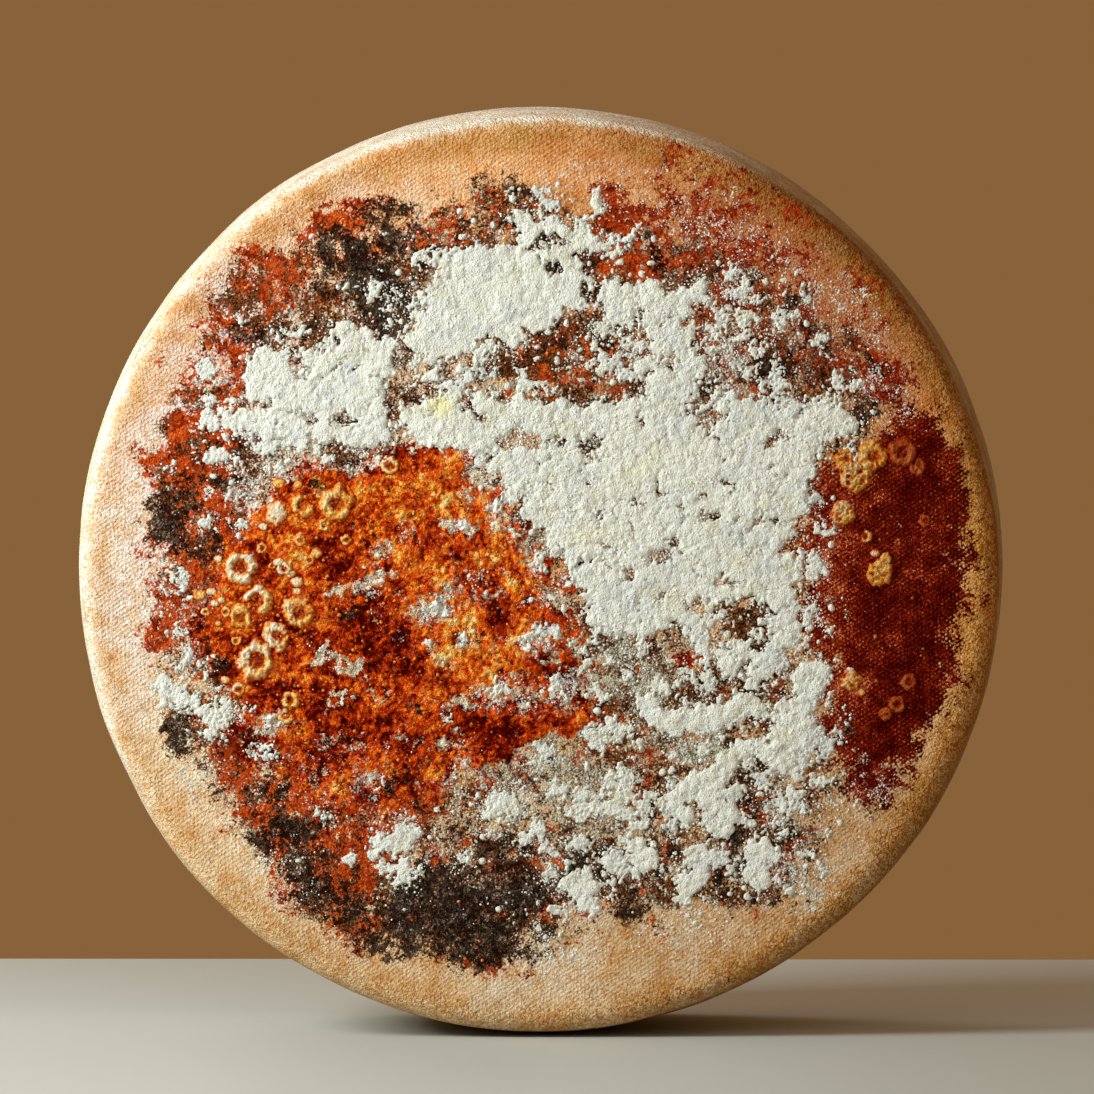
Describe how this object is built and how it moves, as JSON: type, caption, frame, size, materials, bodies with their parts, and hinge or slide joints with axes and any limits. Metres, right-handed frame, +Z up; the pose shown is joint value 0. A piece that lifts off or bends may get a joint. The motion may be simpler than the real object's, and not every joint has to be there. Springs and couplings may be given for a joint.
{
  "type": "cheese wheel",
  "caption": "Whole natural-rind cheese wheel standing on its round side, one face grown over with white, orange, red and black rind mould.",
  "frame": {"origin": "middle of the small flat spot on the round side that the wheel stands on", "axes": "+Z up; +Y along the wheel's own axis, from the mouldy face at -Y to the plain back; +X to the right seen from the mouldy face"},
  "size_m": [0.26, 0.105, 0.2592],
  "materials": {
    "rind": "dry cloth-pressed rind with powdery mould",
    "mould_white": "powdery, dead matt",
    "mould_coloured": "granular, matt"
  },
  "bodies": {
    "root": {"wheel": "rind"}
  },
  "joints": []
}
